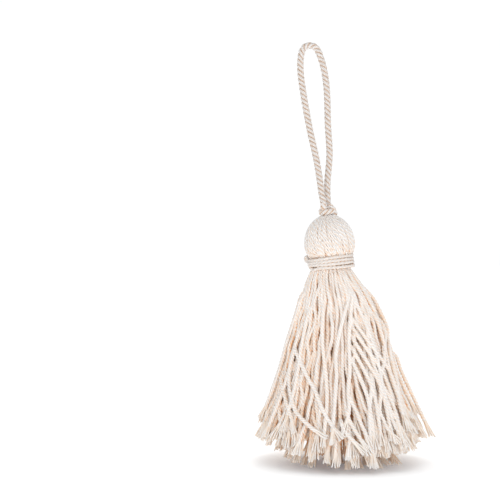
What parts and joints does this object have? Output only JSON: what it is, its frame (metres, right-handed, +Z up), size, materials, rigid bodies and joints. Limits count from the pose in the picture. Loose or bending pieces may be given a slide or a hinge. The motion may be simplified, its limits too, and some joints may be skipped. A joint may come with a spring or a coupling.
{
  "type": "tassel",
  "caption": "Undyed cotton tassel: a ball head of looped yarn bound at the neck, a full cut skirt, and a twisted cord loop knotted on top to hang it by.",
  "frame": {"origin": "centre of the skirt's box on the surface that the cut ends rest on", "axes": "+X to the tassel's right seen from the front, +Y to its back, +Z up from the cut ends to the loop"},
  "size_m": [0.077, 0.0734, 0.1824],
  "materials": {
    "undyed_yarn": "soft plied cotton yarn, undyed and matt, frayed at its cut ends",
    "binding_yarn": "the same undyed cotton yarn, pulled tight and smoother",
    "twisted_cord": "three-ply twisted undyed cotton cord, matt"
  },
  "bodies": {
    "root": {"yarn_hank": "undyed_yarn", "neck_binding": "binding_yarn", "binding_knot": "binding_yarn", "loop_knot": "twisted_cord", "hanging_loop": "twisted_cord"}
  },
  "joints": []
}
